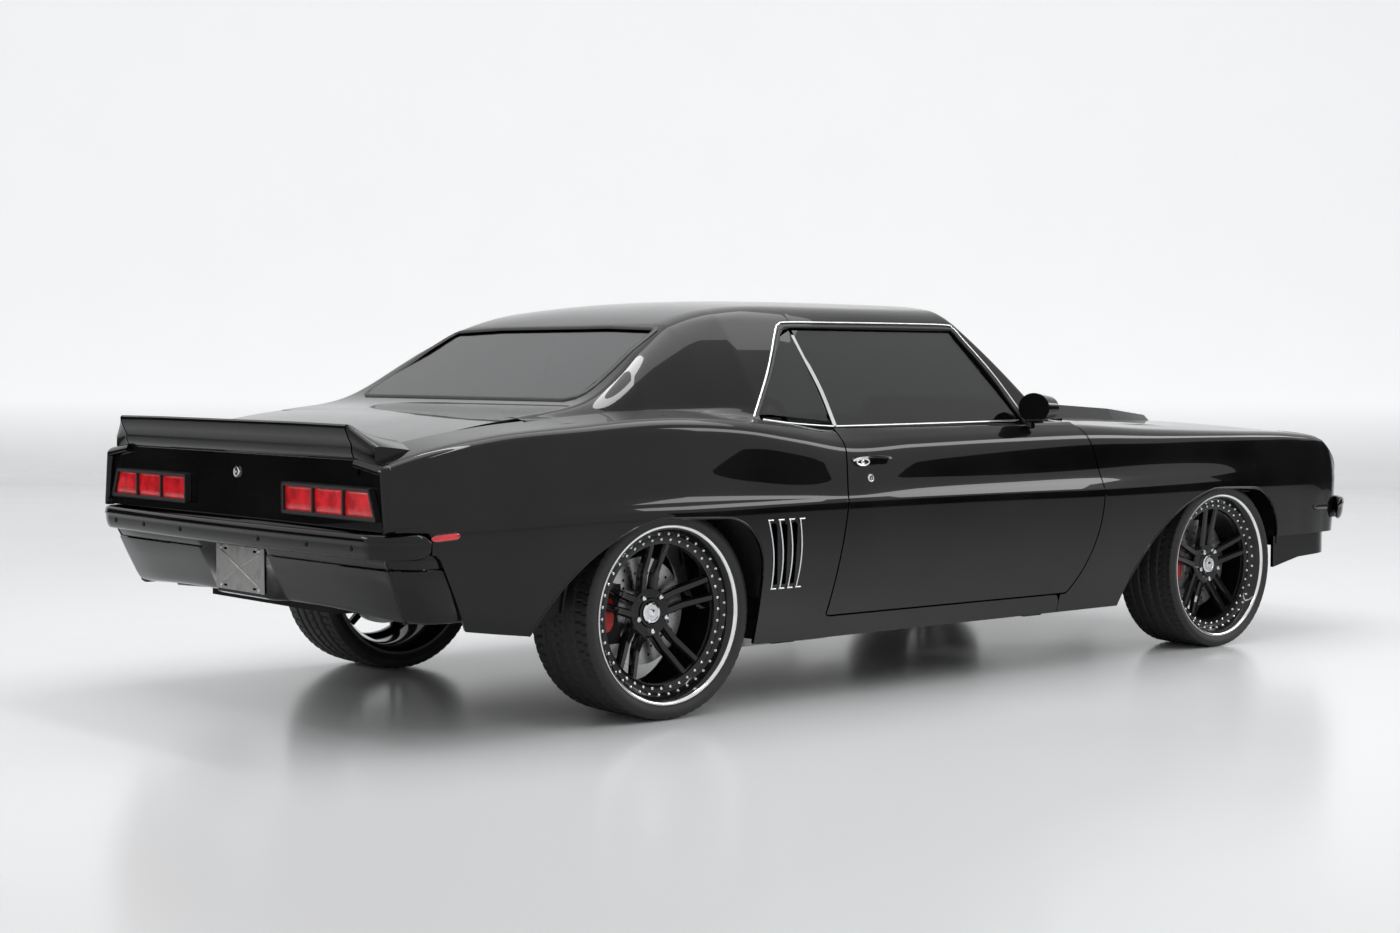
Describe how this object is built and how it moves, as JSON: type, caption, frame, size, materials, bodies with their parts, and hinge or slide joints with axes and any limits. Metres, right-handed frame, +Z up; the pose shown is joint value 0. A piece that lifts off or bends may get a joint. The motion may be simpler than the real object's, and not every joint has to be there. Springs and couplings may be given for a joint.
{
  "type": "muscle car",
  "caption": "Two-door muscle car with long hood, short deck, rear spoiler, flared haunches, deep split-spoke wheels and opening doors, hood and trunk.",
  "frame": {"origin": "on the floor under the middle of the car's length and width", "axes": "+X to the car's left, +Y to its rear, +Z up"},
  "size_m": [1.934, 4.7238, 1.303],
  "materials": {
    "body_paint": "gloss",
    "bumper_paint": "satin",
    "wheel_paint": "gloss",
    "chassis_paint": "satin",
    "tinted_glass": "polished",
    "lamp_glass": "polished",
    "black_trim": "satin",
    "bare_steel": "brushed",
    "engine_iron": "as cast",
    "knuckle_iron": "as cast",
    "disc_iron": "machined",
    "seat_leather": "matte",
    "chrome": "polished",
    "tyre": "matte"
  },
  "bodies": {
    "car_body": {"cowl_firewall": "body_paint", "dashboard": "black_trim", "engine": "engine_iron", "exhaust": "bare_steel", "fender_left": "body_paint", "fender_right": "body_paint", "floor_pan": "chassis_paint", "front_bumper": "bumper_paint", "front_seats": "seat_leather", "front_valance": "body_paint", "fuel_tank": "chassis_paint", "grille": "black_trim", "headlamps": "lamp_glass", "inner_fenders": "chassis_paint", "leaf_springs": "chassis_paint", "nose_panel": "body_paint", "plate_bracket": "bare_steel", "quarter_glass": "tinted_glass", "quarter_panel_left": "body_paint", "quarter_panel_right": "body_paint", "radiator_support": "chassis_paint", "rear_axle": "chassis_paint", "rear_bumper": "bumper_paint", "rear_seat": "seat_leather", "rear_valance": "body_paint", "rear_window": "tinted_glass", "roof_shell": "body_paint", "spoiler_ends": "body_paint", "steering_column": "black_trim", "subframe": "chassis_paint", "tail_lamps": "black_trim", "tail_panel": "body_paint", "wheel_houses": "chassis_paint", "windshield": "tinted_glass"},
    "hood_lid": {"hood": "body_paint"},
    "trunk_cover": {"trunk_lid": "body_paint", "spoiler": "body_paint"},
    "left_door": {"door_left": "body_paint", "door_glass_left": "tinted_glass", "mirror_left": "body_paint", "door_handle_left": "chrome"},
    "right_door": {"door_right": "body_paint", "door_glass_right": "tinted_glass", "mirror_right": "body_paint", "door_handle_right": "chrome"},
    "left_knuckle": {"knuckle_left": "knuckle_iron"},
    "right_knuckle": {"knuckle_right": "knuckle_iron"},
    "steering": {"steering_wheel": "black_trim"},
    "wheel_front_left": {"tyre_front_left": "tyre", "rim_front_left": "wheel_paint", "disc_front_left": "disc_iron"},
    "wheel_front_right": {"tyre_front_right": "tyre", "rim_front_right": "wheel_paint", "disc_front_right": "disc_iron"},
    "wheel_rear_left": {"tyre_rear_left": "tyre", "rim_rear_left": "wheel_paint", "disc_rear_left": "disc_iron"},
    "wheel_rear_right": {"tyre_rear_right": "tyre", "rim_rear_right": "wheel_paint", "disc_rear_right": "disc_iron"}
  },
  "joints": [
    {"name": "hood_hinge", "type": "hinge", "parent": "car_body", "child": "hood_lid", "pos_m": [0, -0.697, 0.9], "axis": [-1, 0, 0], "range_deg": [0, 50]},
    {"name": "trunk_hinge", "type": "hinge", "parent": "car_body", "child": "trunk_cover", "pos_m": [0, 1.742, 0.918], "axis": [1, 0, 0], "range_deg": [0, 75]},
    {"name": "left_door_hinge", "type": "hinge", "parent": "car_body", "child": "left_door", "pos_m": [0.912, -0.585, 0.6], "axis": [0, 0, -1], "range_deg": [0, 62]},
    {"name": "right_door_hinge", "type": "hinge", "parent": "car_body", "child": "right_door", "pos_m": [-0.912, -0.585, 0.6], "axis": [0, 0, 1], "range_deg": [0, 62]},
    {"name": "left_kingpin", "type": "hinge", "parent": "car_body", "child": "left_knuckle", "pos_m": [0.69, -1.427, 0.313], "axis": [0, 0, 1], "range_deg": [-32, 32]},
    {"name": "right_kingpin", "type": "hinge", "parent": "car_body", "child": "right_knuckle", "pos_m": [-0.69, -1.427, 0.313], "axis": [0, 0, 1], "range_deg": [-32, 32]},
    {"name": "steering_column_turn", "type": "hinge", "parent": "car_body", "child": "steering", "pos_m": [0.37, -0.3, 0.7], "axis": [0, 0.9272, 0.3746], "range_deg": [-480, 480]},
    {"name": "front_left_axle", "type": "hinge", "parent": "left_knuckle", "child": "wheel_front_left", "pos_m": [0.75, -1.427, 0.313], "axis": [1, 0, 0], "continuous": true},
    {"name": "front_right_axle", "type": "hinge", "parent": "right_knuckle", "child": "wheel_front_right", "pos_m": [-0.75, -1.427, 0.313], "axis": [1, 0, 0], "continuous": true},
    {"name": "rear_left_axle", "type": "hinge", "parent": "car_body", "child": "wheel_rear_left", "pos_m": [0.75, 1.316, 0.318], "axis": [1, 0, 0], "continuous": true},
    {"name": "rear_right_axle", "type": "hinge", "parent": "car_body", "child": "wheel_rear_right", "pos_m": [-0.75, 1.316, 0.318], "axis": [1, 0, 0], "continuous": true}
  ],
  "couplings": [
    {"joint": "right_kingpin", "follows": "left_kingpin", "ratio": 1},
    {"joint": "steering_column_turn", "follows": "left_kingpin", "ratio": 15}
  ]
}
